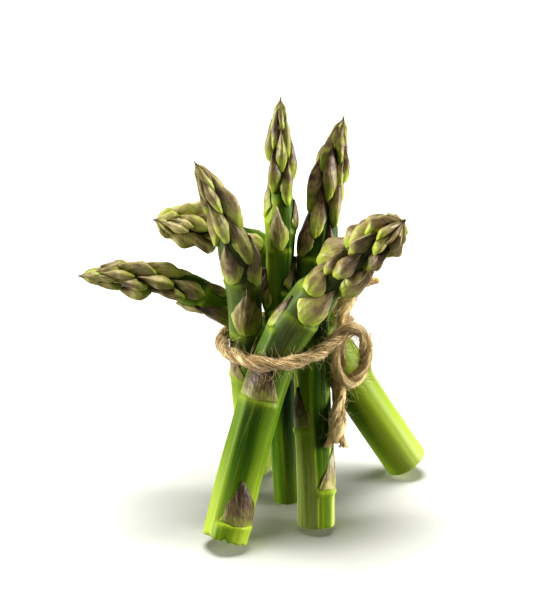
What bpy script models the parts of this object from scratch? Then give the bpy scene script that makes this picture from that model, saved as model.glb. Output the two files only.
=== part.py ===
"""A bunch of six cut asparagus spears, tied once round the middle with jute twine.

The bunch stands on its cut feet. The stems cross at the twine, so the feet spread below it and the
tips spread above it. X runs to the right, Y to the back and Z up, and the origin is on the surface
that the feet stand on, under the middle of the spears.
"""

import math

import bmesh
import bpy
from mathutils import Vector

MM = 0.001
GAP = 0.3  # mm between pieces that touch

STEM_SIDES = 16
STEM_STEP = 7.5  # mm between the rings of a stem
LEVEL_LEAN = 5.0  # degrees: a foot that leans less stands on its whole face
TIP_SIDES = 14
TIP_STEP = 3.2  # mm between the rings of a tip

LEAF_ROWS = 5
LEAF_COLUMNS = 4
LEAF_THICKNESS = 1.0  # mm, along the middle of the leaf
LEAF_EDGE = 0.35  # mm, along its margins
LEAF_LIFT = 0.5  # mm that its point stands off the stem

TWINE_DIAMETER = 4.5
TWINE_STEP = 4.0  # mm between the points of a tube
KNOT_CENTRE = (27.4, -1.4, 62.6)
KNOT_RADII = (3.4, 5.4, 4.6)

# Each spear's centreline, foot first: x, y, z and the radius there, in mm. The foot's own z is worked
# out, so that its rim stands on the surface. neck is the length of stem below the closed tip.
# A scale leaf is given by the middle of its base: the length of stem below it in mm, its direction
# round the stem in degrees (0 front, 90 right, 180 back), its length in mm, and the half angle that
# its base wraps round the stem.
SPEARS = {
    "a": {
        "line": [
            (-11.5, -29.3, 3.0, 7.5),
            (-3.2, -19.6, 34.4, 7.3),
            (5.7, -11.1, 60.4, 7.1),
            (14.5, -10.1, 76.4, 6.9),
            (23.7, -11.6, 87.9, 7.0),
            (34.0, -14.6, 98.4, 7.0),
            (41.0, -16.6, 104.9, 6.3),
            (46.2, -18.6, 109.8, 2.4),
        ],
        "neck": 96.6,
        "leaves": [
            (6.6, 30, 15.0, 50),
            (30.6, 165, 14.0, 42),
            (48.1, -18, 10.0, 45),
            (71.6, -80, 12.0, 36),
            (79.1, 12, 16.5, 54),
            (87.1, -84, 12.0, 38),
            (90.6, 130, 13.0, 48),
        ],
    },
    "b": {
        "line": [
            (-0.9, 28.5, 1.0, 5.6),
            (-3.7, 13.4, 34.4, 5.6),
            (-4.4, 2.4, 64.9, 5.5),
            (-5.2, -1.6, 82.4, 5.6),
            (-8.3, -4.6, 98.9, 6.2),
            (-13.9, -7.6, 113.9, 4.6),
            (-20.0, -10.6, 126.4, 0.8),
        ],
        "neck": 106.7,
        "leaves": [
            (12.7, -130, 14.0, 44),
            (32.7, -20, 13.0, 42),
            (49.7, -50, 9.5, 42),
            (68.7, 6, 17.5, 62),
            (86.7, 78, 15.0, 42),
            (89.2, -38, 16.0, 42),
            (90.7, 180, 15.0, 44),
        ],
    },
    "c": {
        "line": [
            (9.6, 5.4, 0.0, 4.6),
            (8.1, 5.4, 30.4, 4.6),
            (7.0, 5.9, 59.9, 4.6),
            (7.0, 7.4, 91.4, 4.6),
            (7.3, 8.4, 111.9, 5.2),
            (7.0, 8.9, 125.4, 4.6),
            (7.1, 9.4, 142.4, 0.8),
        ],
        "neck": 110.4,
        "leaves": [
            (26.4, -100, 12.0, 46),
            (71.4, -60, 11.0, 46),
            (78.4, 28, 12.0, 46),
            (86.4, 165, 14.0, 46),
            (92.0, -4, 15.0, 48),
            (98.4, 82, 11.0, 38),
            (101.4, -100, 13.0, 38),
        ],
    },
    "d": {
        "line": [
            (19.3, -16.6, 1.0, 6.2),
            (18.4, -8.6, 32.9, 6.1),
            (17.7, 0.4, 58.4, 5.9),
            (18.0, 6.4, 79.4, 5.6),
            (20.7, 11.4, 98.9, 6.5),
            (24.6, 15.4, 118.9, 5.2),
            (28.1, 18.4, 133.9, 0.8),
        ],
        "neck": 106.5,
        "leaves": [
            (13.5, 52, 13.5, 50),
            (28.5, 175, 13.0, 44),
            (33.5, -60, 12.0, 45),
            (74.5, 128, 13.0, 44),
            (88.5, 45, 14.0, 38),
            (90.0, -50, 14.0, 42),
            (94.5, 165, 14.0, 44),
        ],
    },
    "e": {
        "line": [
            (19.0, 32.1, 1.0, 4.8),
            (12.8, 23.4, 30.4, 4.8),
            (0.9, 16.4, 56.9, 4.7),
            (-10.3, 12.4, 68.4, 4.7),
            (-23.3, 9.4, 76.4, 5.4),
            (-35.8, 6.4, 80.9, 6.4),
            (-46.8, 3.4, 83.4, 4.6),
            (-59.3, -0.6, 85.0, 0.8),
        ],
        "neck": 99.6,
        "leaves": [
            (22.6, -70, 12.0, 46),
            (74.2, -46, 15.0, 50),
            (78.6, 172, 14.0, 44),
            (80.6, 76, 10.0, 36),
            (88.6, 15, 13.0, 36),
            (90.6, -80, 11.0, 38),
            (93.6, 120, 12.0, 42),
        ],
    },
    "f": {
        "line": [
            (53.1, 27.6, 4.0, 7.7),
            (36.2, 25.4, 30.9, 7.6),
            (17.5, 21.4, 62.9, 7.2),
            (4.3, 21.4, 82.4, 6.6),
            (-9.9, 18.4, 92.9, 7.0),
            (-20.8, 13.4, 96.9, 7.2),
            (-29.0, 10.4, 99.9, 5.2),
            (-34.7, 7.4, 101.9, 0.8),
        ],
        "neck": 106.8,
        "leaves": [
            (14.8, 170, 15.0, 40),
            (40.8, 120, 15.0, 42),
            (78.8, 175, 14.0, 42),
            (86.8, 40, 13.0, 42),
            (90.8, -60, 13.0, 42),
            (96.8, 160, 13.0, 44),
            (99.8, 30, 12.0, 40),
        ],
    },
}

# The twine's route from one end to the other, x, y and z in mm: down the upper tail into the knot,
# round the loop, over the front of the knot, round the bunch, and from behind the knot down the
# front tail.
UPPER_TAIL = [
    (37.2, 0.6, 85.0),
    (34.4, 0.6, 83.0),
    (31.0, 0.4, 79.6),
    (28.4, 0.2, 75.4),
    (27.4, -0.2, 71.6),
    (27.4, -0.8, 67.8),
]
LOOP = [
    (27.4, -1.6, 63.7),
    (25.9, -3.6, 59.4),
    (25.6, -5.0, 55.0),
    (26.9, -5.9, 51.0),
    (30.2, -5.8, 49.2),
    (33.6, -4.7, 51.2),
    (35.6, -3.4, 56.0),
    (35.6, -3.0, 62.0),
    (33.6, -4.1, 66.8),
    (30.0, -5.5, 68.2),
]
WRAP = [
    (26.4, -6.4, 65.9),
    (22.0, -11.4, 63.8),
    (15.0, -17.8, 62.4),
    (6.5, -20.8, 61.8),
    (-1.5, -18.7, 61.4),
    (-7.8, -11.4, 61.0),
    (-11.6, -3.1, 60.4),
    (-12.5, 5.4, 59.6),
    (-11.4, 14.0, 59.0),
    (-6.5, 21.4, 59.4),
    (2.0, 26.0, 60.4),
    (11.0, 29.6, 61.8),
    (18.5, 31.7, 62.4),
    (26.0, 29.6, 62.8),
    (29.6, 22.4, 63.0),
    (29.6, 13.4, 63.2),
    (28.9, 7.4, 63.4),
]
FRONT_TAIL = [
    (27.7, 3.0, 62.4),
    (27.0, 1.4, 58.8),
    (26.7, 0.3, 54.0),
    (26.7, -0.9, 48.6),
    (26.8, -5.2, 44.0),
    (26.3, -10.9, 40.2),
    (25.9, -14.2, 36.0),
    (25.7, -15.8, 31.6),
]


def plain_material(name, colour, roughness):
    """A plain Principled surface of one colour."""
    material = bpy.data.materials.new(name)
    material.use_nodes = True
    shader = material.node_tree.nodes["Principled BSDF"]
    shader.inputs["Base Color"].default_value = (*colour, 1.0)
    shader.inputs["Roughness"].default_value = roughness
    shader.inputs["Metallic"].default_value = 0.0
    return material


def stem_skin():
    """Fresh green skin with a low wax bloom."""
    return plain_material("stem_skin", (0.20, 0.33, 0.04), 0.42)


def tip_scales():
    """The closed purple-green scales of a bud."""
    return plain_material("tip_scales", (0.16, 0.16, 0.06), 0.5)


def scale_leaf_skin():
    """The purple-brown scale leaves of the stem."""
    return plain_material("scale_leaf", (0.18, 0.13, 0.08), 0.5)


def jute():
    """Straw-coloured twisted jute."""
    return plain_material("jute", (0.55, 0.40, 0.22), 0.9)


class Curve:
    """A smooth curve through points of any number of values, read by the length along it."""

    def __init__(self, points, samples_per_span=24):
        knots = [0.0]
        for start, end in zip(points, points[1:]):
            knots.append(knots[-1] + math.sqrt(math.dist(start[:3], end[:3])))
        slopes = self.slopes_at(points, knots)
        self.samples = []
        for i in range(len(points) - 1):
            for k in range(samples_per_span):
                self.samples.append(self.between(points, knots, slopes, i, k / samples_per_span))
        self.samples.append(tuple(points[-1]))
        self.lengths = [0.0]
        for start, end in zip(self.samples, self.samples[1:]):
            self.lengths.append(self.lengths[-1] + math.dist(start[:3], end[:3]))
        self.length = self.lengths[-1]

    @staticmethod
    def slopes_at(points, knots):
        """The rate of change of every value at each point."""
        spans = [
            [(b - a) / (knots[i + 1] - knots[i]) for a, b in zip(points[i], points[i + 1])]
            for i in range(len(points) - 1)
        ]
        slopes = []
        for i in range(1, len(points) - 1):
            before, after = knots[i] - knots[i - 1], knots[i + 1] - knots[i]
            share = before / (before + after)
            slopes.append([a * (1 - share) + b * share for a, b in zip(spans[i - 1], spans[i])])
        first = [1.5 * a - 0.5 * b for a, b in zip(spans[0], slopes[0])]
        last = [1.5 * a - 0.5 * b for a, b in zip(spans[-1], slopes[-1])]
        return [first, *slopes, last]

    @staticmethod
    def between(points, knots, slopes, i, t):
        """The cubic between point i and the next, at share t of the way."""
        width = knots[i + 1] - knots[i]
        weights = (
            2 * t**3 - 3 * t**2 + 1,
            (t**3 - 2 * t**2 + t) * width,
            3 * t**2 - 2 * t**3,
            (t**3 - t**2) * width,
        )
        values = zip(points[i], slopes[i], points[i + 1], slopes[i + 1])
        return tuple(sum(w * v for w, v in zip(weights, group)) for group in values)

    def at(self, length):
        """The values at a length along the curve."""
        length = min(max(length, 0.0), self.length)
        i = 0
        while i < len(self.lengths) - 2 and self.lengths[i + 1] < length:
            i += 1
        share = (length - self.lengths[i]) / (self.lengths[i + 1] - self.lengths[i])
        return [a + (b - a) * share for a, b in zip(self.samples[i], self.samples[i + 1])]

    def direction(self, length):
        """The unit vector along the curve."""
        ahead = Vector(self.at(length + 0.5)[:3])
        return (ahead - Vector(self.at(length - 0.5)[:3])).normalized()


class Spear:
    """One spear's centreline, and places on and off its skin."""

    def __init__(self, letter):
        self.letter = letter
        self.neck = SPEARS[letter]["neck"]
        self.leaves = SPEARS[letter]["leaves"]
        line = list(SPEARS[letter]["line"])
        for _ in range(4):
            self.curve = Curve(line)
            lean = self.curve.direction(0.5)
            x, y, _, radius = line[0]
            line[0] = (x, y, radius * math.hypot(lean.x, lean.y), radius)

    def across(self, length):
        """The two unit vectors square to the stem: to its front, and to its right."""
        along = self.curve.direction(length)
        front = Vector((0.0, -1.0, 0.0))
        front = (front - front.dot(along) * along).normalized()
        return front, along.cross(front)

    def skin(self, length, angle, off=0.0, scale=1.0):
        """A point at an angle round the stem, at scale times its radius plus off, in metres."""
        x, y, z, radius = self.curve.at(length)
        front, right = self.across(length)
        reach = radius * scale + off
        way = front * math.cos(angle) + right * math.sin(angle)
        return (Vector((x, y, z)) + way * reach) * MM


def add_object(name, mesh, material):
    mesh.materials.append(material)
    mesh.shade_smooth()
    mesh.set_sharp_from_angle(angle=math.radians(50))
    piece = bpy.data.objects.new(name, mesh)
    bpy.context.scene.collection.objects.link(piece)
    return piece


def lofted(name, rings, material):
    """A closed solid through rings of points, flat at both ends."""
    shape = bmesh.new()
    loops = [[shape.verts.new(point) for point in ring] for ring in rings]
    for low, high in zip(loops, loops[1:]):
        for k in range(len(low)):
            n = (k + 1) % len(low)
            shape.faces.new((low[k], low[n], high[n], high[k]))
    shape.faces.new(list(reversed(loops[0])))
    shape.faces.new(loops[-1])
    bmesh.ops.recalc_face_normals(shape, faces=shape.faces)
    mesh = bpy.data.meshes.new(name)
    shape.to_mesh(mesh)
    shape.free()
    return add_object(name, mesh, material)


def lowest_angle(spear):
    """The angle round the foot at which its rim is lowest."""
    front, right = spear.across(0.5)
    return math.atan2(-right.z, -front.z)


def stem(spear, material):
    """The stalk from its square-cut foot to just under the tip."""
    start = lowest_angle(spear)
    steps = round(spear.neck / STEM_STEP)
    rings = []
    for i in range(steps + 1):
        length = (spear.neck - GAP) * i / steps
        turns = [start + 2 * math.pi * k / STEM_SIDES for k in range(STEM_SIDES)]
        rings.append([spear.skin(length, turn) for turn in turns])
    if spear.curve.direction(0.5).z > math.cos(math.radians(LEVEL_LEAN)):
        rings[0] = [Vector((point.x, point.y, 0.0)) for point in rings[0]]
    return lofted(f"spear_{spear.letter}_stem", rings, material)


def tip(spear, material):
    """The closed bud: low lumps in five rows wind round it where its scales lap."""
    run = spear.curve.length - spear.neck
    steps = round(run / TIP_STEP)
    rings = []
    for i in range(steps + 1):
        length = spear.neck + run * i / steps
        rings.append([])
        for k in range(TIP_SIDES):
            turn = 2 * math.pi * k / TIP_SIDES
            lump = 0.965 + 0.035 * math.cos(5 * turn + 0.9 * (length - spear.neck))
            rings[-1].append(spear.skin(length, turn, scale=lump))
    return lofted(f"spear_{spear.letter}_tip", rings, material)


def scale_leaf(spear, number, material):
    """A thin pointed leaf, curved round the stem and thickest along its middle."""
    base, degrees, size, spread = spear.leaves[number]
    middle, half = math.radians(degrees), math.radians(spread)
    inner, outer = [], []
    for row in range(LEAF_ROWS + 1):
        v = row / LEAF_ROWS
        width = half * (math.sqrt(1 - v) * (1 + 0.25 * v) + 0.05)
        lift = GAP + LEAF_LIFT * v * v
        inner.append([])
        outer.append([])
        for column in range(LEAF_COLUMNS + 1):
            u = 2 * column / LEAF_COLUMNS - 1
            turn = middle + width * u
            thick = LEAF_EDGE + (LEAF_THICKNESS - LEAF_EDGE) * (1 - u * u) * (1 - 0.5 * v)
            inner[-1].append(spear.skin(base + size * v, turn, off=lift))
            outer[-1].append(spear.skin(base + size * v, turn, off=lift + thick))
    shape = bmesh.new()
    sheets = [[[shape.verts.new(point) for point in row] for row in sheet] for sheet in (inner, outer)]
    for sheet in sheets:
        for low, high in zip(sheet, sheet[1:]):
            for k in range(LEAF_COLUMNS):
                shape.faces.new((low[k], low[k + 1], high[k + 1], high[k]))
    edges = [margin(sheet) for sheet in sheets]
    for k in range(len(edges[0])):
        n = (k + 1) % len(edges[0])
        shape.faces.new((edges[0][k], edges[0][n], edges[1][n], edges[1][k]))
    bmesh.ops.recalc_face_normals(shape, faces=shape.faces)
    name = f"spear_{spear.letter}_scale_{number + 1}"
    mesh = bpy.data.meshes.new(name)
    shape.to_mesh(mesh)
    shape.free()
    return add_object(name, mesh, material)


def margin(sheet):
    """The vertices round a sheet's edge, in order."""
    left = [row[0] for row in sheet[1:-1]]
    right = [row[-1] for row in sheet[1:-1]]
    return sheet[0] + right + list(reversed(sheet[-1])) + list(reversed(left))


def outside_knot(point):
    """Whether a point of the twine's centreline lies clear of the knot's solid."""
    clear = 2.0
    spans = zip(point, KNOT_CENTRE, KNOT_RADII)
    return sum(((p - c) / (r + clear)) ** 2 for p, c, r in spans) > 1.0


def twine_tubes(material):
    """The twine's four stretches, read from one smooth curve and cut back from the knot."""
    stretches = {
        "twine_tail_upper": UPPER_TAIL,
        "twine_loop": LOOP,
        "twine_wrap": WRAP,
        "twine_tail_front": FRONT_TAIL,
    }
    route = Curve(UPPER_TAIL + LOOP + WRAP + FRONT_TAIL)
    per_span = (len(route.samples) - 1) // (sum(map(len, stretches.values())) - 1)
    first = 0
    for name, points in stretches.items():
        last = first + len(points) * per_span
        samples = [p for p in route.samples[first:last] if outside_knot(p)]
        first = last
        run = Curve(samples, samples_per_span=1)
        steps = max(2, round(run.length / TWINE_STEP))
        tube = bpy.data.curves.new(name, "CURVE")
        tube.dimensions = "3D"
        tube.bevel_depth = TWINE_DIAMETER / 2 * MM
        tube.bevel_resolution = 2
        tube.use_fill_caps = True
        spline = tube.splines.new("POLY")
        spline.points.add(steps)
        for i, spot in enumerate(spline.points):
            spot.co = (*(value * MM for value in run.at(run.length * i / steps)), 1.0)
        tube.materials.append(material)
        bpy.context.scene.collection.objects.link(bpy.data.objects.new(name, tube))


def knot(material):
    """The half knot at the right of the bunch, as the rounded lump that its crossings fill."""
    shape = bmesh.new()
    bmesh.ops.create_icosphere(shape, subdivisions=2, radius=1.0)
    bmesh.ops.scale(shape, vec=Vector(KNOT_RADII) * MM, verts=shape.verts)
    bmesh.ops.translate(shape, vec=Vector(KNOT_CENTRE) * MM, verts=shape.verts)
    mesh = bpy.data.meshes.new("twine_knot")
    shape.to_mesh(mesh)
    shape.free()
    return add_object("twine_knot", mesh, material)


def clear_scene():
    for old in list(bpy.data.objects):
        bpy.data.objects.remove(old, do_unlink=True)


def build():
    clear_scene()
    skin, bud, leaf, twine = stem_skin(), tip_scales(), scale_leaf_skin(), jute()
    for letter in SPEARS:
        spear = Spear(letter)
        stem(spear, skin)
        tip(spear, bud)
        for number in range(len(spear.leaves)):
            scale_leaf(spear, number, leaf)
    twine_tubes(twine)
    knot(twine)


build()
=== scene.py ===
"""A bunch of six cut asparagus spears, tied once round the middle with jute twine.

The bunch stands on its cut feet on a pale floor. X runs to the right, Y to the back and Z up. Shapes are
worked out in millimetres, and each mesh is turned to metres as it is made.
"""

import math
import bpy
import numpy as np
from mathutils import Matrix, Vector


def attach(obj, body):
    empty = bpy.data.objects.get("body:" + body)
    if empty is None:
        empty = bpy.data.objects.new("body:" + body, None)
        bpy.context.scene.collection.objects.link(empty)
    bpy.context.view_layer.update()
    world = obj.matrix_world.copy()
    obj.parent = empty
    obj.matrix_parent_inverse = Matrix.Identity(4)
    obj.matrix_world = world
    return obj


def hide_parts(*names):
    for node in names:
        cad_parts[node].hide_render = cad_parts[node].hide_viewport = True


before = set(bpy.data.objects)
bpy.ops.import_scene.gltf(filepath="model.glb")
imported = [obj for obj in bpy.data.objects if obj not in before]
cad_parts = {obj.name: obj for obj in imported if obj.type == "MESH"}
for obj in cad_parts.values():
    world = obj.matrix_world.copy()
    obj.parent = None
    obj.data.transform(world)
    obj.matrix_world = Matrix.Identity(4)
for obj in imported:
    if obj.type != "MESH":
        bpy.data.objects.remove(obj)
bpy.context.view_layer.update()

MM = 0.001


# The camera: a 100 mm lens a little over half a metre away, looking 20 degrees down at the middle of
# the bunch.

CAMERA_TARGET = (5.0, 2.4, 73.4)
CAMERA_DISTANCE = 567.0
CAMERA_DOWN = math.radians(20)

camera = bpy.data.objects.new("camera", bpy.data.cameras.new("camera"))
bpy.context.scene.collection.objects.link(camera)
camera.data.lens = 100
camera.data.sensor_width = 36
away = Vector((0, -math.cos(CAMERA_DOWN), math.sin(CAMERA_DOWN)))
camera.location = (Vector(CAMERA_TARGET) + away * CAMERA_DISTANCE) * MM
camera.rotation_euler = away.to_track_quat("Z", "Y").to_euler()
bpy.context.scene.camera = camera


# The twine: one length of two-ply jute, passed once round the bunch and half knotted at its right.
# One end stands up behind the knot, the other hangs in front, and a small loop lies beside them. Jute
# is a coarse bast fibre, spun dry, so it is matt and hairy and its ends come apart.

TWINE_DIAMETER = 4.5
PLIES = 2
PLY_PITCH = 23.0  # mm for one turn of the plies
PLY_ORBIT = 0.31  # of the twine's radius, from its middle to a ply's middle
TWINE_SIDES = 60
TWINE_STEP = 0.35  # mm of route between two rings
EASING = 32  # passes that round off the route's corners, so that the twine never folds into itself

UPPER_TAIL = [
    (37.2, 0.6, 85.0), (34.4, 0.6, 83.0), (31.0, 0.4, 79.6), (28.4, 0.2, 75.4),
    (27.4, -0.2, 71.6), (27.4, -0.8, 67.8),
]
LOOP = [
    (27.4, -1.6, 63.7), (25.9, -3.6, 59.4), (25.6, -5.0, 55.0), (26.9, -5.9, 51.0),
    (30.2, -5.8, 49.2), (33.6, -4.7, 51.2), (35.6, -3.4, 56.0), (35.6, -3.0, 62.0),
    (33.6, -4.1, 66.8), (30.0, -5.5, 68.2),
]
WRAP = [
    (26.4, -6.4, 65.9), (22.0, -11.4, 63.8), (15.0, -17.8, 62.4), (6.5, -20.8, 61.8),
    (-1.5, -18.7, 61.4), (-7.8, -11.4, 61.0), (-11.6, -3.1, 60.4), (-12.5, 5.4, 59.6),
    (-11.4, 14.0, 59.0), (-6.5, 21.4, 59.4), (2.0, 26.0, 60.4), (11.0, 29.6, 61.8),
    (18.5, 31.7, 62.4), (26.0, 29.6, 62.8), (29.6, 22.4, 63.0), (29.6, 13.4, 63.2),
    (28.9, 7.4, 63.4),
]
FRONT_TAIL = [
    (27.7, 3.0, 62.4), (27.0, 1.4, 58.8), (26.7, 0.3, 54.0), (26.7, -0.9, 48.6),
    (26.8, -5.2, 44.0), (26.3, -10.9, 40.2), (25.9, -14.2, 36.0), (25.7, -15.8, 31.6),
]


class Path:
    """A smooth curve through points of any number of values, read by the length along it."""

    def __init__(self, points, per_span=24):
        points = np.array(points, float)
        steps = np.linalg.norm(np.diff(points[:, :3], axis=0), axis=1) ** 0.5
        knots = np.concatenate(([0.0], np.cumsum(steps)))
        spans = np.diff(points, axis=0) / steps[:, None]
        share = (steps[:-1] / (steps[:-1] + steps[1:]))[:, None]
        inner = spans[:-1] * (1 - share) + spans[1:] * share
        first, last = 1.5 * spans[:1] - 0.5 * inner[:1], 1.5 * spans[-1:] - 0.5 * inner[-1:]
        slopes = np.vstack((first, inner, last))
        t = np.append(np.linspace(0, 1, per_span, endpoint=False), 1.0)[:, None]
        pieces = []
        for i, width in enumerate(np.diff(knots)):
            rise, turn_out = 3 * t**2 - 2 * t**3, t**3 - 2 * t**2 + t
            run = points[i] * (1 - rise) + points[i + 1] * rise
            run = run + (turn_out * slopes[i] + (t**3 - t**2) * slopes[i + 1]) * width
            pieces.append(run if i == len(points) - 2 else run[:-1])
        self.samples = np.vstack(pieces)
        gaps = np.linalg.norm(np.diff(self.samples[:, :3], axis=0), axis=1)
        self.lengths = np.concatenate(([0.0], np.cumsum(gaps)))
        self.length = self.lengths[-1]

    def at(self, length):
        """The values at lengths along the curve; past its end it runs on straight."""
        length = np.asarray(length, float)
        values = [np.interp(length, self.lengths, column) for column in self.samples.T]
        beyond = np.maximum(length - self.length, 0.0)[..., None]
        end = self.samples[-1, :3] - self.samples[-3, :3]
        values = np.stack(values, axis=-1)
        values[..., :3] += beyond * end / np.linalg.norm(end)
        return values

    def direction(self, length):
        """The unit vectors along the curve."""
        length = np.asarray(length, float)
        run = self.at(length + 0.5)[..., :3] - self.at(length - 0.5)[..., :3]
        return run / np.linalg.norm(run, axis=-1, keepdims=True)


def carried_sides(directions):
    """Two unit vectors square to each direction, carried along a path without turning about it."""
    side = np.cross(directions[0], (0.0, 1.0, 0.0))
    firsts = []
    for direction in directions:
        side = side - side.dot(direction) * direction
        side = side / np.linalg.norm(side)
        firsts.append(side)
    firsts = np.array(firsts)
    return firsts, np.cross(directions, firsts)


def closed_tube(rings):
    """The vertices and faces of a tube through rings of points, closed at both ends."""
    count, sides, _ = rings.shape
    verts = np.vstack((rings.reshape(-1, 3), rings[0].mean(0), rings[-1].mean(0)))
    ring, side = np.meshgrid(np.arange(count - 1), np.arange(sides), indexing="ij")
    here, after = ring * sides + side, ring * sides + (side + 1) % sides
    walls = np.stack((here, after, after + sides, here + sides), axis=-1).reshape(-1, 4)
    k, last = np.arange(sides), (count - 1) * sides
    n = (k + 1) % sides
    foot = np.stack((np.full(sides, count * sides), n, k), axis=-1)
    top = np.stack((np.full(sides, count * sides + 1), last + k, last + n), axis=-1)
    return verts, walls.tolist() + foot.tolist() + top.tolist()


def add_piece(name, slot, material, verts, faces, **attributes):
    """A smooth mesh piece in millimetres that rides on the bunch, with values on its vertices."""
    mesh = bpy.data.meshes.new(name)
    mesh.from_pydata((verts * MM).tolist(), [], faces)
    for key, values in attributes.items():
        kind, field = ("FLOAT_VECTOR", "vector") if values.ndim == 2 else ("FLOAT", "value")
        layer = mesh.attributes.new(key, kind, "POINT")
        layer.data.foreach_set(field, values.astype(np.float32).ravel())
    mesh.materials.append(material)
    mesh.shade_smooth()
    piece = bpy.data.objects.new(name, mesh)
    bpy.context.scene.collection.objects.link(piece)
    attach(piece, "root")
    return piece


def linear(colour):
    """An sRGB hex colour as linear red, green, blue and alpha."""
    shares = [int(colour[i : i + 2], 16) / 255 for i in (1, 3, 5)]
    return [c / 12.92 if c <= 0.04045 else ((c + 0.055) / 1.055) ** 2.4 for c in shares] + [1.0]


def put(tree, kind, inputs=None, stops=None, **settings):
    """Adds a node. An input is a value, or another node's output to link; a ramp has colour stops."""
    node = tree.nodes.new(kind)
    for name, value in settings.items():
        setattr(node, name, value)
    for key, value in (inputs or {}).items():
        if isinstance(value, bpy.types.NodeSocket):
            tree.links.new(value, node.inputs[key])
        else:
            node.inputs[key].default_value = value
    if stops:
        ramp = node.color_ramp
        for place, colour in stops[1:-1]:
            ramp.elements.new(place).color = linear(colour)
        for element, (place, colour) in ((ramp.elements[0], stops[0]), (ramp.elements[-1], stops[-1])):
            element.position = place
            element.color = linear(colour)
    return node


def new_material(name, **constants):
    """A material and its tree and Principled shader, with constants set on the shader's sockets."""
    material = bpy.data.materials.new(name)
    material.use_nodes = True
    shader = material.node_tree.nodes["Principled BSDF"]
    for socket, value in constants.items():
        shader.inputs[socket.replace("_", " ")].default_value = value
    return material, material.node_tree, shader


def smoothstep(x, low=0.0, high=1.0):
    """0 below low, 1 above high, and a soft slope between."""
    t = np.clip((x - low) / (high - low), 0.0, 1.0)
    return t * t * (3 - 2 * t)


def jute():
    """Spun jute: straw-coloured fibres with darker ones among them, and matt. It has painted shade between
    the plies, and painted light that makes its loop and ends paler.
    """
    material, tree, shader = new_material("spun_jute", Roughness=0.85, Sheen_Weight=0.25)
    grain = put(tree, "ShaderNodeAttribute", attribute_name="grain").outputs["Vector"]
    groove, worn = [
        put(tree, "ShaderNodeAttribute", attribute_name=name).outputs["Fac"] for name in ("groove", "worn")
    ]
    fibre_mm = 0.30
    stretch = (1 / fibre_mm, 1 / fibre_mm, 0.24)
    place = put(tree, "ShaderNodeVectorMath", {0: grain, 1: stretch}, operation="MULTIPLY").outputs[0]
    noise = {0: place, "Scale": 1.0, "Detail": 3.0}
    fibres = put(tree, "ShaderNodeTexNoise", noise).outputs["Fac"]
    stops = [(0.33, "#533d1e"), (0.43, "#8c7042"), (0.51, "#b59a68"), (0.62, "#f4e2b6")]
    colour = put(tree, "ShaderNodeValToRGB", {0: fibres}, stops).outputs[0]
    # The first mix is painted shade darkening the grooves between plies, and on loose fibres a random
    # darkness; the second is painted light, paler on the loop and ends.
    for share, over in ((groove, linear("#80643a")), (worn, linear("#ffe8b0"))):
        colour = put(tree, "ShaderNodeMix", {0: share, 6: colour, 7: over}, data_type="RGBA").outputs[2]
    tree.links.new(colour, shader.inputs["Base Color"])
    bump = put(tree, "ShaderNodeBump", {"Height": fibres, "Distance": 0.2 * MM, "Strength": 0.9})
    tree.links.new(bump.outputs[0], shader.inputs["Normal"])
    return material


route = Path(UPPER_TAIL + LOOP + WRAP + FRONT_TAIL)
route_step = np.linspace(0.0, route.length, round(route.length / TWINE_STEP))
route_middle = route.at(route_step)
for _ in range(EASING):
    route_middle[1:-1] = (route_middle[:-2] + 2 * route_middle[1:-1] + route_middle[2:]) / 4
route_along = np.gradient(route_middle, axis=0)
route_along /= np.linalg.norm(route_along, axis=1, keepdims=True)
route_side, route_other = carried_sides(route_along)


# Where the twine is thinner (below 0) or thicker, as a share of its radius, with each slope from nothing
# to all of that in mm along the route. It thins into the loop and at both ends, and swells before each.
twine_end = route.length
SWELLS = [
    (-0.30, (16, 21), (42, 33)),
    (0.34, (twine_end - 16, twine_end - 6)),
    (-0.75, (twine_end - 4.5, twine_end)),
    (-0.7, (8, 0)),
    (0.22, (6, 10), (19, 14)),
]


def painted_light_share(length):
    """How much painted light makes the twine paler at lengths along it: its ends and its loop are painted
    paler.
    """
    return 0.8 * smoothstep(length, 74, 58) + 0.7 * smoothstep(length, twine_end - 32, twine_end - 20)


def twine_surface(index, turn, off=0.0):
    """Points on the twine's plied skin, at steps of its route and angles round it."""
    length = route_step[index]
    laid = turn - 2 * math.pi * length / PLY_PITCH
    apart = np.abs((laid + math.pi / PLIES) % (2 * math.pi / PLIES) - math.pi / PLIES)
    ply = 1 - PLY_ORBIT
    reach = PLY_ORBIT * np.cos(apart) + np.sqrt(ply**2 - (PLY_ORBIT * np.sin(apart)) ** 2)
    fat = 1 + 0.05 * np.sin(length / 5.3) + 0.04 * np.sin(length / 2.1 + 1.0)
    for share, *slopes in SWELLS:
        for low, high in slopes:
            share = share * smoothstep(length, low, high)
        fat = fat + share
    rough = 0.03 * np.sin(9 * laid + length / 1.7) + 0.025 * np.sin(17 * laid - length / 2.9)
    reach = TWINE_DIAMETER / 2 * (reach * fat + rough) + off
    way = np.cos(turn)[..., None] * route_side[index] + np.sin(turn)[..., None] * route_other[index]
    return route_middle[index] + way * reach[..., None], apart / (math.pi / PLIES), laid


index, turn = np.meshgrid(
    np.arange(len(route_step)), np.linspace(0, 2 * math.pi, TWINE_SIDES, endpoint=False), indexing="ij"
)
# The groove share marks where the twine is painted darker between its plies: painted shade.
rings, groove, laid = twine_surface(index, turn)
verts, faces = closed_tube(rings)
grain = np.stack((2.2 * np.cos(laid), 2.2 * np.sin(laid), route_step[index]), axis=-1).reshape(-1, 3)
ends = np.array([[0, 0, 0], [0, 0, route.length]])
twine_jute = jute()
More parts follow.
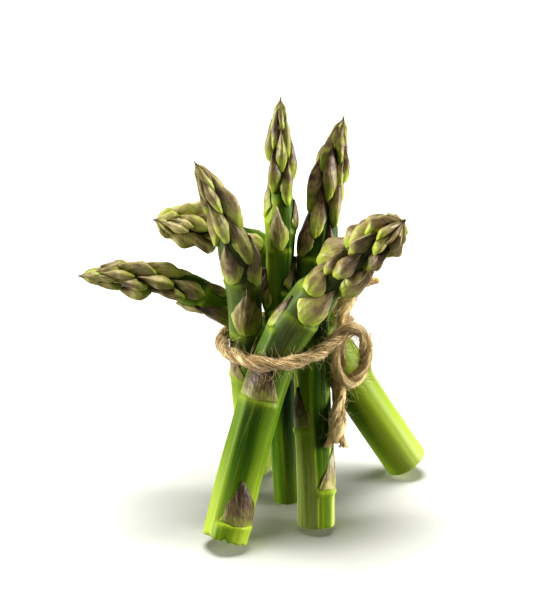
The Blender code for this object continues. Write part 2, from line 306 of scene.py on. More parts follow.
# Painted light: the twine is painted paler on its upper end, its loop and its front end.
twine = add_piece(
    "twine", "jute", twine_jute, verts, faces,
    grain=np.vstack((grain, ends)),
    groove=np.append(smoothstep(groove.ravel(), 0.55, 1.0) * 0.75, [0.5, 0.5]),
    worn=np.append(painted_light_share(route_step[index]).ravel(), painted_light_share(ends[:, 2])),
)
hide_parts("twine_tail_upper", "twine_knot", "twine_loop", "twine_wrap", "twine_tail_front")


# The twine's loose fibres: short ones that stand off the twine or lie along it, and the two ends, where
# the plies come apart into brushes.

FIBRE_SIDES = 3
FIBRE_POINTS = 7
HAIRS = 2600
LAID_FIBRES = 900
END_FIBRES = 330
LOOP_HAIRS = 0.2  # share of the hairs moved to the upper end and the loop, which are the fuzziest
LOOP_END = 66  # mm along the route
END_STEPS = 5  # points of an end fibre inside the twine
END_TAIL = 3  # points of it beyond the twine's end

rng = np.random.default_rng(11)


def fibre(points, radius):
    """One fibre as a thin tube that tapers to both ends."""
    points = np.array(points)
    direction = np.gradient(points, axis=0)
    direction /= np.linalg.norm(direction, axis=1, keepdims=True)
    side, other = carried_sides(direction)
    taper = np.sin(np.linspace(0.35, math.pi - 0.25, len(points))) ** 0.6
    turn = np.linspace(0, 2 * math.pi, FIBRE_SIDES, endpoint=False)
    way = np.cos(turn)[:, None, None] * side + np.sin(turn)[:, None, None] * other
    return closed_tube((points + way * (radius * taper)[:, None]).transpose(1, 0, 2))


def standing_hair():
    """A hair that leaves the twine's skin and curls in the air."""
    start, angle = rng.integers(0, len(route_step)), rng.uniform(0, 2 * math.pi)
    if rng.random() < LOOP_HAIRS:
        start = rng.integers(0, int(LOOP_END / TWINE_STEP))
    root = twine_surface(np.array(start), np.array(angle), -0.2)[0]
    out = root - route_middle[start]
    out /= np.linalg.norm(out)
    heading = route_along[start] * rng.choice((-1, 1)) * rng.uniform(0.2, 1.4)
    heading = heading + out * rng.uniform(0.35, 1.0)
    length = 2.0 + 8.0 * rng.random() ** 2
    bend = rng.normal(0, 0.62, 3)
    points = [root]
    for _ in range(FIBRE_POINTS - 1):
        heading = heading / np.linalg.norm(heading) + bend * 0.45 + rng.normal(0, 0.10, 3)
        points.append(points[-1] + heading / np.linalg.norm(heading) * length / FIBRE_POINTS)
    return fibre(points, rng.uniform(0.03, 0.06))


def laid_fibre():
    """A fibre that lies along the plies, a little proud of them."""
    span = int(rng.uniform(3, 11) / TWINE_STEP)
    start = rng.integers(0, len(route_step) - span)
    steps = np.linspace(start, start + span, FIBRE_POINTS).astype(int)
    angle = rng.uniform(0, 2 * math.pi)
    sweep = rng.uniform(-0.5, 0.7) * 2 * math.pi / PLY_PITCH
    angles = angle + sweep * (route_step[steps] - route_step[start])
    lift = 0.16 * np.sin(np.linspace(0, math.pi, FIBRE_POINTS)) * rng.uniform(0.2, 2.2)
    points = twine_surface(steps, angles, lift + 0.02)[0]
    return fibre(points, rng.uniform(0.05, 0.11))


def end_fibre(end, outward):
    """A fibre of a frayed end, in one of the two brushes that its plies come apart into."""
    back = int(rng.uniform(4.0, 9.0) / TWINE_STEP)
    start = back if end == 0 else len(route_step) - 1 - back
    brush = rng.choice((-1, 1))
    root_angle = rng.uniform(0, 2 * math.pi)
    steps = np.linspace(start, end, END_STEPS).astype(int)
    inside = rng.uniform(0.3, 1.0) ** 0.5
    spread = np.linspace(0, 1, END_STEPS) ** 1.5
    fan = route_side[steps] * math.cos(root_angle) + route_other[steps] * math.sin(root_angle)
    across = np.cross(outward, (0.0, 1.0, 0.0))
    across /= np.linalg.norm(across)
    points = route_middle[steps] + fan * (TWINE_DIAMETER / 2 * 0.8 * inside) * (1 - 0.35 * spread[:, None])
    points = points + across * brush * 2.4 * spread[:, None]
    heading = outward + across * brush * rng.uniform(0.0, 0.55) + fan[-1] * rng.uniform(0.0, 0.45)
    tail = [points[-1]]
    run = rng.uniform(0.3, 1.9)
    for _ in range(END_TAIL):
        heading = heading + rng.normal(0, 0.16, 3)
        tail.append(tail[-1] + heading / np.linalg.norm(heading) * run / END_TAIL)
    return fibre(np.vstack((points, tail[1:])), rng.uniform(0.07, 0.14))


def joined(shapes):
    """The vertices and faces of several shapes as one."""
    verts, faces, first = [], [], 0
    for shape_verts, shape_faces in shapes:
        verts.append(shape_verts)
        faces.extend([[v + first for v in face] for face in shape_faces])
        first += len(shape_verts)
    return np.vstack(verts), faces


fibres = [standing_hair() for _ in range(HAIRS)] + [laid_fibre() for _ in range(LAID_FIBRES)]
fibres += [end_fibre(0, -route_along[0]) for _ in range(END_FIBRES // 3)]
fibres += [end_fibre(len(route_step) - 1, route_along[-1]) for _ in range(END_FIBRES)]
verts, faces = joined(fibres)
corners = [len(shape[0]) for shape in fibres]
frayed = END_FIBRES + END_FIBRES // 3
fibre_tone = np.repeat(rng.random(len(fibres)), corners)
shades = ((0.6, HAIRS), (0.7, LAID_FIBRES), (0.6, frayed))
fibre_shade = np.concatenate([rng.uniform(0.0, deepest, count) for deepest, count in shades])
# Painted light: the frayed end fibres are painted paler than the hairs and laid fibres.
fibre_painted_light = np.repeat((0.3, 0.9), (HAIRS + LAID_FIBRES, frayed))
twine_fibres = add_piece(
    "twine_fibres", "jute", twine_jute, verts, faces,
    grain=np.stack((fibre_tone * 40, fibre_tone * 17, verts[:, 2]), axis=-1),
    groove=np.repeat(fibre_shade, corners),
    worn=np.repeat(fibre_painted_light, corners),
)


# The stems: six fresh shoots, each one body from its cut foot up to the core of its bud. The skin is
# smooth and waxy, with fine ribs along it, a swelling at each node where a scale leaf grows, and more
# dull wax bloom towards the bud. Each line is x, y, z and the radius there, foot first; the foot's own
# z is worked out, so that its rim stands on the floor. The neck is where the bud's scales start. Rise is
# how deep the green is at foot and neck, shade a band of painted shade down the stem (its middle and half
# width in degrees, and how much deeper), and ragged the roughness of the cut. Tint and pale make the
# scales browner and creamier.

STEM_SIDES = 112
STEM_STEP = 0.7
CORE_SHARE = 0.60  # of the bud's radius, inside its scales
POINT = 3.0  # mm at the tip over which a spear is drawn to a point
RIM = 0.9  # mm radius of the cut foot's rim
CUT_REACH = 8.0  # mm above the foot in which the cut's roughness fades
LIME_REACH = 34  # mm above the foot in which the skin is limier
GRAIN_APART = 30  # between the grain of one spear and the next, so that no two are alike

SPEARS = {
    "a": dict(
        line=[
            (-11.5, -29.3, 3.0, 7.5), (-3.2, -19.6, 34.4, 7.3), (5.7, -11.1, 60.4, 7.1),
            (14.5, -10.1, 76.4, 6.9), (23.7, -11.6, 87.9, 7.0), (34.0, -14.6, 98.4, 7.0),
            (41.0, -16.6, 104.9, 6.3), (46.2, -18.6, 109.8, 2.4),
        ],
        neck=96.6, lime=0.75, rise=(0.1, 0.8), ribbed=0.85, bloom=0.75, ragged=1.2, tint=0.2,
        pale=0.14, shade=(-12, 26, 0.42),
    ),
    "b": dict(
        line=[
            (-0.9, 28.5, 1.0, 5.6), (-3.7, 13.4, 34.4, 5.6), (-4.4, 2.4, 64.9, 5.5),
            (-5.2, -1.6, 82.4, 5.6), (-8.3, -4.6, 98.9, 6.2), (-13.9, -7.6, 113.9, 4.6),
            (-20.0, -10.6, 126.4, 0.8),
        ],
        neck=106.7, lime=0.55, rise=(-0.3, 0.9), ribbed=0.5, bloom=0.9, ragged=0.4, tint=0.05,
        pale=0.18, shade=(50, 55, 0.3),
    ),
    "c": dict(
        line=[
            (9.6, 5.4, 0.0, 4.6), (8.1, 5.4, 30.4, 4.6), (7.0, 5.9, 59.9, 4.6),
            (7.0, 7.4, 91.4, 4.6), (7.3, 8.4, 111.9, 5.2), (7.0, 8.9, 125.4, 4.6),
            (7.1, 9.4, 142.4, 0.8),
        ],
        # c's foot is painted a deeper green than its neck: painted shade on its low stem.
        neck=110.4, lime=0.35, rise=(0.68, 0.1), ribbed=0.3, bloom=0.1, ragged=0.2, tint=-0.15,
        pale=-0.2, shade=(55, 65, 0.5),
    ),
    "d": dict(
        line=[
            (19.3, -16.6, 1.0, 6.2), (18.4, -8.6, 32.9, 6.1), (17.7, 0.4, 58.4, 5.9),
            (18.0, 6.4, 79.4, 5.6), (20.7, 11.4, 98.9, 6.5), (24.6, 15.4, 118.9, 5.2),
            (28.1, 18.4, 133.9, 0.8),
        ],
        neck=106.5, lime=0.35, rise=(-0.14, 0.72), ribbed=1.0, bloom=0.25, ragged=0.4, tint=0.05,
        pale=-0.02, shade=(28, 26, 0.5),
    ),
    "e": dict(
        line=[
            (19.0, 32.1, 1.0, 4.8), (12.8, 23.4, 30.4, 4.8), (0.9, 16.4, 56.9, 4.7),
            (-10.3, 12.4, 68.4, 4.7), (-23.3, 9.4, 76.4, 5.4), (-35.8, 6.4, 80.9, 6.4),
            (-46.8, 3.4, 83.4, 4.6), (-59.3, -0.6, 85.0, 0.8),
        ],
        neck=99.6, lime=0.4, rise=(0.5, 0.3), ribbed=0.4, bloom=0.2, ragged=0.3, tint=0.1,
        pale=0.4, shade=(60, 60, 0.2),
    ),
    "f": dict(
        line=[
            (53.1, 27.6, 4.0, 7.7), (36.2, 25.4, 30.9, 7.6), (17.5, 21.4, 62.9, 7.2),
            (4.3, 21.4, 82.4, 6.6), (-9.9, 18.4, 92.9, 7.0), (-20.8, 13.4, 96.9, 7.2),
            (-29.0, 10.4, 99.9, 5.2), (-34.7, 7.4, 101.9, 0.8),
        ],
        neck=106.8, lime=0.9, rise=(0.04, 0.48), ribbed=0.4, bloom=0.3, ragged=0.4, tint=-0.15,
        pale=0.5, shade=(-70, 60, 0.25),
    ),
}

# Each scale leaf on the stems: the stem below its base in mm, its direction round the stem in degrees
# (0 front, 90 right, 180 back), its length in mm, the half angle that its base wraps, the degrees that
# its point leans round the stem, and how far it swells in mm.
LEAVES = {
    "a": [
        (6.4, 37, 15.4, 66, -30, 0.7),
        (30.6, 165, 14, 42, 0, 1.0),
        (47.6, -18, 17, 62, -22, 0.6),
        (71.6, -80, 13, 38, 18, 1.2),
        (79.1, 12, 17, 64, 10, 1.6),
        (88.9, -42, 13.5, 56, -50, 1.7),
        (90.6, 130, 13, 48, 0, 1.5),
    ],
    "b": [
        (12.7, -130, 14, 44, 0, 1.0),
        (32.7, -20, 13, 42, 0, 1.0),
        (49.7, -50, 15, 46, -8, 0.7),
        (68.7, 6, 19, 74, 6, 1.5),
        (86.2, 60, 17.5, 56, 14, 1.5),
        (88.7, -34, 16.5, 58, 8, 1.4),
        (90.7, 180, 15, 44, 0, 1.4),
    ],
    "c": [
        (26.4, -100, 12, 46, 0, 0.9),
        (70.4, -80, 15, 62, 0, 2.2),
        (77.4, 50, 12, 46, 30, 1.1),
        (86.4, 165, 14, 46, 0, 1.1),
        (92.0, -2, 16, 50, -16, 0.9),
        (98.4, 82, 10.5, 46, -6, 1.1),
        (101.9, -94, 13, 52, 4, 1.5),
    ],
    "d": [
        (12.6, 54, 16, 50, 24, 0.9),
        (28.5, 175, 13, 44, 0, 1.0),
        (33.5, -58, 14, 56, 6, 1.0),
        (74.5, 128, 13, 44, 0, 1.2),
        (88.5, 45, 14, 38, -20, 1.2),
        (90.0, -56, 15, 52, 0, 1.5),
        (94.5, 165, 14, 44, 0, 1.5),
    ],
    "e": [
        (22.6, -70, 12, 46, 0, 0.9),
        (73.6, -38, 17, 82, 6, 1.2),
        (78.6, 172, 14, 44, 0, 1.2),
        (80.6, 78, 10, 38, -10, 1.2),
        (88.8, 20, 13, 40, 22, 1.4),
        (85.6, -62, 10.5, 38, -20, 1.3),
        (93.6, 120, 12, 42, 0, 1.4),
    ],
    "f": [
        (14.8, 170, 15, 40, 0, 1.0),
        (40.8, 120, 15, 42, 0, 1.0),
        (78.8, 175, 14, 42, 0, 1.2),
        (86.8, 40, 13, 42, 0, 1.2),
        (90.8, -60, 13, 42, 0, 1.4),
        (96.8, 160, 13, 44, 0, 1.4),
        (99.8, 30, 12, 40, 0, 1.5),
    ],
}

# Leaves that are darker (below 0) or paler (above 0) than their spear's others: spear, number and share.
LEAF_TONES = {
    ("a", 1): -0.36, ("a", 3): -0.32, ("a", 4): -0.3, ("b", 4): 0.3, ("c", 5): 0.34,
    ("d", 1): 0.4, ("d", 3): -0.3, ("e", 2): -0.35,
}


class Spear:
    """One spear's centreline, and places on and off its skin."""

    def __init__(self, letter, line, **finish):
        self.letter = letter
        vars(self).update(finish)
        line = list(line)
        for _ in range(4):
            self.path = Path(line)
            lean = self.path.direction(0.5)
            x, y, _, radius = line[0]
            line[0] = (x, y, radius * math.hypot(lean[0], lean[1]), radius)
        self.length = self.path.length
        self.waves = np.random.default_rng(ord(letter)).uniform(0, 2 * math.pi, 24)

    def radius(self, length):
        """The spear's radius, drawn to a point at its tip."""
        point = np.clip((self.length - length) / POINT, 0.12, 1.0) ** 0.6
        return self.path.at(length)[..., 3] * point

    def core(self, length):
        """The radius of the stem, which narrows inside the bud's scales."""
        inside = smoothstep(length, self.neck - 10, self.neck + 5)
        return self.radius(length) * (1 - (1 - CORE_SHARE) * inside)

    def room(self, length):
        """How deep the bud's scales lie on the core."""
        return self.radius(length) - self.core(length)

    def at(self, length, turn, reach):
        """Points at lengths along the spear and angles round it, reach mm from its middle."""
        along = self.path.direction(length)
        front = np.array((0.0, -1.0, 0.0)) - along * -along[..., 1:2]
        front /= np.linalg.norm(front, axis=-1, keepdims=True)
        right = np.cross(along, front)
        way = np.cos(turn)[..., None] * front + np.sin(turn)[..., None] * right
        return self.path.at(length)[..., :3] + way * reach[..., None]


def wrapped(turn, middle):
    """The signed angle from middle to turn, in radians."""
    return (turn - middle + math.pi) % (2 * math.pi) - math.pi


# Ribs round a stem: how many, and how tall in mm.
RIBS = ((2, 0.10), (3, 0.14), (5, 0.13), (7, 0.10), (9, 0.07), (13, 0.05), (18, 0.04), (24, 0.03))


def ribs(spear, length, turn):
    """Fine ribs and hollows along a stem, in mm; they wander a little round it."""
    height = np.zeros(np.broadcast(length, turn).shape)
    for i, (count, tall) in enumerate(RIBS):
        drift = spear.waves[i] + 0.5 * np.sin(length / (19 + 4 * i) + spear.waves[i + 8])
        fade = 0.6 + 0.4 * np.sin(length / (11 + 3 * i) + spear.waves[i + 16])
        height += tall * spear.ribbed * fade * np.cos(count * turn + drift)
    return height


def node_swelling(spear, length, turn):
    """The swelling under each scale leaf, the ridges that run down from its corners, and its green."""
    height = np.zeros(np.broadcast(length, turn).shape)
    green = np.zeros_like(height)
    for base, degrees, _, half, _, _ in LEAVES[spear.letter]:
        away = wrapped(turn, math.radians(degrees))
        half = math.radians(half)
        inside = 1 - smoothstep(np.abs(away), half * 0.8, half * 1.2)
        below = base - length
        under = np.exp(-np.maximum(below, 0) / 7.0) * (below > -1.0)
        height += 0.40 * inside * under * smoothstep(below, -1.0, 0.4)
        ring = np.exp(-(((below - 0.4) / 1.1) ** 2))
        ringed = 0.0 if spear.letter == "a" else 0.40 * (1 - float(smoothstep(base, 40, 60)))
        height += (0.22 + ringed) * ring * inside
        for corner in (-half, half):
            ridge = np.exp(-((wrapped(away, corner) / 0.09) ** 2))
            height += 0.28 * ridge * np.exp(-np.maximum(below, 0) / 16.0) * smoothstep(below, -2.0, 2.0)
        green += inside * np.exp(-np.maximum(below, 0) / 1.3) * smoothstep(below, -1.5, 0.0)
    return height, np.clip(green, 0, 1)


def stem_shape(spear):
    """The stem's rings: from the middle of the cut foot, out over its rim and up to the bud's tip."""
    turns = np.linspace(0, 2 * math.pi, STEM_SIDES, endpoint=False)
    cut = 0.5 + 0.5 * np.sin(3 * turns + spear.waves[0]) * np.sin(7 * turns + spear.waves[1])
    cut += 0.35 * np.sin(16 * turns + spear.waves[2]) * np.sin(5 * turns)
    cut = spear.ragged * np.clip(cut, 0, 1) * 0.6
    if spear.letter == "a":
        cut += 1.7 * np.exp(-((wrapped(turns, math.radians(-4)) / 0.09) ** 2))
        cut += 1.1 * np.exp(-((wrapped(turns, math.radians(-52)) / 0.5) ** 2))
    edge = np.linspace(0, 1, 7)
    face = np.linspace(0.05, 1, 9)[:-1]
    low = np.arange(RIM, CUT_REACH, 0.45)
    walls = np.concatenate((low, np.arange(CUT_REACH, spear.length - 1.0, STEM_STEP)))
    lengths, shares, flesh = [], [], []
    for share in face:
        lengths.append(cut * share + 0.25 * (1 - share))
        shares.append(np.full(STEM_SIDES, share * 0.9))
        flesh.append(1.0)
    for e in edge:
        lengths.append(cut + RIM * (1 - math.cos(e * math.pi / 2)))
        shares.append(np.full(STEM_SIDES, 0.9 + 0.1 * math.sin(e * math.pi / 2)))
        flesh.append(1.0 - smoothstep(e, 0.1, 0.6))
    for height in walls[1:]:
        lengths.append(height + cut * max(0.0, 1 - height / CUT_REACH))
        shares.append(np.ones(STEM_SIDES))
        flesh.append(0.0)
    length = np.array(lengths)
    turn = np.broadcast_to(turns, length.shape)
    swelling, green = node_swelling(spear, length, turn)
    bumps = ribs(spear, length, turn) * smoothstep(length, spear.length, spear.length - 20)
    reach = (spear.core(length) + bumps + swelling) * np.array(shares)
    return length, turn, reach, green, np.array(flesh)


def stem_skin():
    """Fresh shoot skin: lime low down, deeper green above, with paler and darker streaks along it.

    Over these lie the lime of its nodes, the dull wax bloom, and the cut foot's flesh with its bundles.
    Its green is also painted deeper as painted shade: in a band down each stem, and on the core between
    the bud's scales.
    """
    material, tree, shader = new_material(
        "asparagus_skin", Roughness=0.46, Subsurface_Weight=0.15, Subsurface_Scale=1.4 * MM, IOR=1.27
    )
    shader.inputs["Subsurface Radius"].default_value = (0.7, 1.0, 0.1)
    grain = put(tree, "ShaderNodeAttribute", attribute_name="grain").outputs["Vector"]
    rise, green, bloom, streaky, flesh = [
        put(tree, "ShaderNodeAttribute", attribute_name=name).outputs["Fac"]
        for name in ("rise", "green", "bloom", "streaky", "flesh")
    ]
    body = [
        (0.0, "#bcc878"), (0.12, "#9cae3e"), (0.32, "#6c8518"),
        (0.55, "#466708"), (0.8, "#2f4c05"), (1.0, "#1a2e04"),
    ]
    colour = put(tree, "ShaderNodeValToRGB", {0: rise}, body).outputs[0]
    streak_mm = 1.5
    stretch = (1 / streak_mm, 1 / streak_mm, 0.022)
    place = put(tree, "ShaderNodeVectorMath", {0: grain, 1: stretch}, operation="MULTIPLY").outputs[0]
    noise = {0: place, "Scale": 1.0, "Detail": 4.0, "Roughness": 0.6}
    streaks = put(tree, "ShaderNodeTexNoise", noise).outputs["Fac"]
    light = put(tree, "ShaderNodeMapRange", {0: streaks, 1: 0.52, 2: 0.74, 3: 0.0, 4: 0.45}).outputs[0]
    light = put(tree, "ShaderNodeMath", {0: light, 1: streaky}, operation="MULTIPLY").outputs[0]
    dim = put(tree, "ShaderNodeMapRange", {0: streaks, 1: 0.46, 2: 0.25, 3: 0.0, 4: 0.6}).outputs[0]
    dim = put(tree, "ShaderNodeMath", {0: dim, 1: streaky}, operation="MULTIPLY").outputs[0]
    dust = put(tree, "ShaderNodeTexNoise", {0: grain, "Scale": 0.35, "Detail": 5.0}).outputs["Fac"]
    wax = put(tree, "ShaderNodeMath", {0: dust, 1: bloom}, operation="MULTIPLY").outputs[0]
    pores = put(tree, "ShaderNodeTexVoronoi", {0: grain, "Scale": 1.15, "Randomness": 0.9})
    bundle = {0: pores.outputs["Distance"], 1: 0.12, 2: 0.34, 3: 1.0, 4: 0.0}
    bundle = put(tree, "ShaderNodeMapRange", bundle).outputs[0]
    cut = {0: bundle, 6: linear("#c3cf86"), 7: linear("#8d9a52")}
    cut = put(tree, "ShaderNodeMix", cut, data_type="RGBA").outputs[2]
    layers = [
        (light, linear("#b4c24e")), (dim, linear("#34520a")), (green, linear("#a2b63a")),
        (wax, linear("#70764e")), (flesh, cut),
    ]
    for share, over in layers:
        colour = put(tree, "ShaderNodeMix", {0: share, 6: colour, 7: over}, data_type="RGBA").outputs[2]
    tree.links.new(colour, shader.inputs["Base Color"])
    bump = put(tree, "ShaderNodeBump", {"Height": streaks, "Distance": 0.06 * MM, "Strength": 0.7})
    tree.links.new(bump.outputs[0], shader.inputs["Normal"])
    return material


skin = stem_skin()
spears = {letter: Spear(letter, **values) for letter, values in SPEARS.items()}
for letter, spear in spears.items():
    length, turn, reach, green, flesh = stem_shape(spear)
    verts, faces = closed_tube(spear.at(length, turn, reach))
    grain = np.stack((reach * np.cos(turn), reach * np.sin(turn), length), axis=-1).reshape(-1, 3)
    grain = np.vstack((grain, [[0, 0, 0], [0, 0, spear.length]])) + GRAIN_APART * (ord(letter) - ord("a"))
    share = length / spear.neck
    # Painted shade: a band down one side of each stem is painted a deeper green.
    middle, half, painted_shade_depth = spear.shade
    away = np.abs(wrapped(turn, math.radians(middle) + 0.06 * np.sin(length / 9 + spear.waves[3])))
    painted_shade_band = 1 - smoothstep(away, math.radians(half) * 0.62, math.radians(half) * 1.15)
    tip = smoothstep(length, spear.length - 5, spear.length - 2)
    # Painted shade: the core inside the bud is painted a deeper green where it lies between the scales.
    inside = 0.6 * smoothstep(length, spear.neck - 3, spear.neck + 4) * (1 - tip)
    rise = np.clip(np.interp(share, (0, 1), spear.rise) + painted_shade_depth * painted_shade_band + inside, 0, 1)
    streaky = np.full(length.shape, 0.35 + 0.65 * spear.ribbed)
    foot = 0.45 * spear.lime * (1 - smoothstep(length, 0, LIME_REACH))
    lime = np.clip(green * (0.85 - 0.35 * share) + foot + 0.6 * tip, 0, 1)
    bloom = spear.bloom * smoothstep(share, 0.3, 0.85)
    flesh = np.broadcast_to(flesh[:, None], length.shape)
    values = {"rise": rise, "green": lime, "bloom": bloom, "flesh": flesh, "streaky": streaky}
    values = {key: np.append(value.ravel(), (value.flat[0], value.flat[-1])) for key, value in values.items()}
    stem = add_piece(f"spear_{letter}_stalk", "stem_skin", skin, verts, faces, grain=grain, **values)
    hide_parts(f"spear_{letter}_stem")


# The scale leaves: each is a small pointed leaf pressed to the stem above its node, fleshy and lime at
# the base, and drier and purple-brown towards its point, with thin pale margins.

SCALE_ROWS = 26
SCALE_COLUMNS = 17


def closed_sheet(outer, inner):
    """The vertices and faces of a thin leaf between two grids of points."""
    rows, columns, _ = outer.shape
    count = rows * columns
    row, column = np.meshgrid(np.arange(rows - 1), np.arange(columns - 1), indexing="ij")
    here = (row * columns + column).ravel()
    faces = np.stack((here, here + 1, here + columns + 1, here + columns), axis=-1)
    grid = np.arange(count).reshape(rows, columns)
    rim = np.concatenate((grid[0, :-1], grid[:-1, -1], grid[-1, :0:-1], grid[:0:-1, 0]))
    after = np.roll(rim, -1)
    walls = np.stack((after, rim, rim + count, after + count), axis=-1)
    verts = np.vstack((outer.reshape(-1, 3), inner.reshape(-1, 3)))
    return verts, faces.tolist() + (faces[:, ::-1] + count).tolist() + walls.tolist()


def leaf_outline(v):
    """The half width of a leaf on the stem: widest near its base, and drawn out to its point."""
    return 1.06 * (1 - v) ** 1.08 * (0.80 + 0.30 * smoothstep(v, 0.0, 0.24))


def low_leaf_outline(v):
    """The half width of a leaf low on the stem: widest at its node, with straight sides."""
    return 1.02 * (1 - v) ** 0.92


def bud_outline(v):
    """The half width of a scale of a bud: narrow at its base and widest a third of the way up."""
    return (0.60 + 0.40 * smoothstep(v, 0, 0.36)) * (1 - v**2.1) ** 0.95


def scale_shape(spear, scale, seed, outline, dip, young, pale, plump=1.0, lime=1.0):
    """One scale: its shape, and the values its material reads.

    The scale is given as the stem below its base, direction in degrees, length, width, lean and swell.
    """
    base, degrees, size, width, lean, swell = scale
    draw = np.random.default_rng(seed)
    v = np.linspace(0, 1, SCALE_ROWS)[:, None] ** 1.3
    u = np.sin(np.linspace(-1, 1, SCALE_COLUMNS) * math.pi / 2)[None, :]
    v, u = np.broadcast_arrays(v, u)
    phase = draw.uniform(0, 2 * math.pi, 8)
    skew = draw.uniform(-0.10, 0.10)
    wavy = 0.30 * np.sin(2.3 * u + phase[0]) + 0.24 * np.sin(6.1 * u + phase[1])
    wavy += 0.15 * np.sin(13 * u + phase[5])
    length = base + size * (v + dip * np.abs(u + skew) ** 2.1 * (1 - v) ** 1.5) + wavy * (1 - v) ** 3
    half = width / 2 * outline(v) + 0.04
    half = half * (1 + 0.04 * np.sin(9 * v + phase[2]) + 0.03 * np.sin(17 * v + phase[6]) * np.sign(u))
    core = spear.core(length)
    depth = swell * (0.35 + 0.65 * np.minimum(spear.radius(length) / 4.5, 1.0))
    reach = np.clip(half / (core + 0.4 * depth), 0, 2.2)
    turn = math.radians(degrees) + np.radians(lean) * v + reach * (u + skew * (1 - u**2))
    rise = 0.40 * smoothstep(v, 0, 0.03) + 0.24 * smoothstep(v, 0, 0.13) + 0.36 * smoothstep(v, 0, 0.4)
    fall = 1 - 0.55 * smoothstep(v, 0.45, 1.0)
    crown = 1 - np.abs(u) ** 2.1
    keel = 0.16 * np.exp(-(((u - skew) / 0.25) ** 2)) * smoothstep(v, 0.1, 0.5)
    veins = 0.07 * np.sin(11 * u + phase[3] + 1.5 * v) + 0.04 * np.sin(23 * u + phase[4] + 2 * v)
    lumps = 0.10 * np.sin(5 * v + 2.6 * u + phase[7]) + 0.07 * np.sin(11 * v - 3.7 * u + phase[5])
    margin = 0.34 * smoothstep(v, 0, 0.03) - 0.22 * (1 - smoothstep(v, 0, 0.03))
    outer = core + margin + depth * (rise * fall * crown * plump + keel + lumps * crown)
    outer = outer + veins * crown * smoothstep(v, 0, 0.1)
    outer = outer * (0.3 + 0.7 * smoothstep(spear.length - length, -0.3, 3.2))
    thick = 0.22 + (0.25 + 0.35 * depth) * crown * (1 - v) ** 0.7
    shape = closed_sheet(spear.at(length, turn, outer), spear.at(length, turn, outer - thick))
    blade = np.stack((u * half, v * size, np.full(v.shape, seed * 7.3)), axis=-1).reshape(-1, 3)
    tint = np.clip(draw.normal(0.5, 0.34) + spear.tint - young, -1, 1)
    values = {
        "grain": np.vstack((blade, blade)),
        "span": np.tile(v.ravel(), 2),
        "side": np.tile(np.abs(u).ravel(), 2),
        "hue": np.full(2 * v.size, tint),
        "pale": np.full(2 * v.size, pale),
        "lime": np.full(2 * v.size, lime * np.clip(draw.normal(0.85, 0.3), 0.1, 1.2)),
    }
    return shape, values


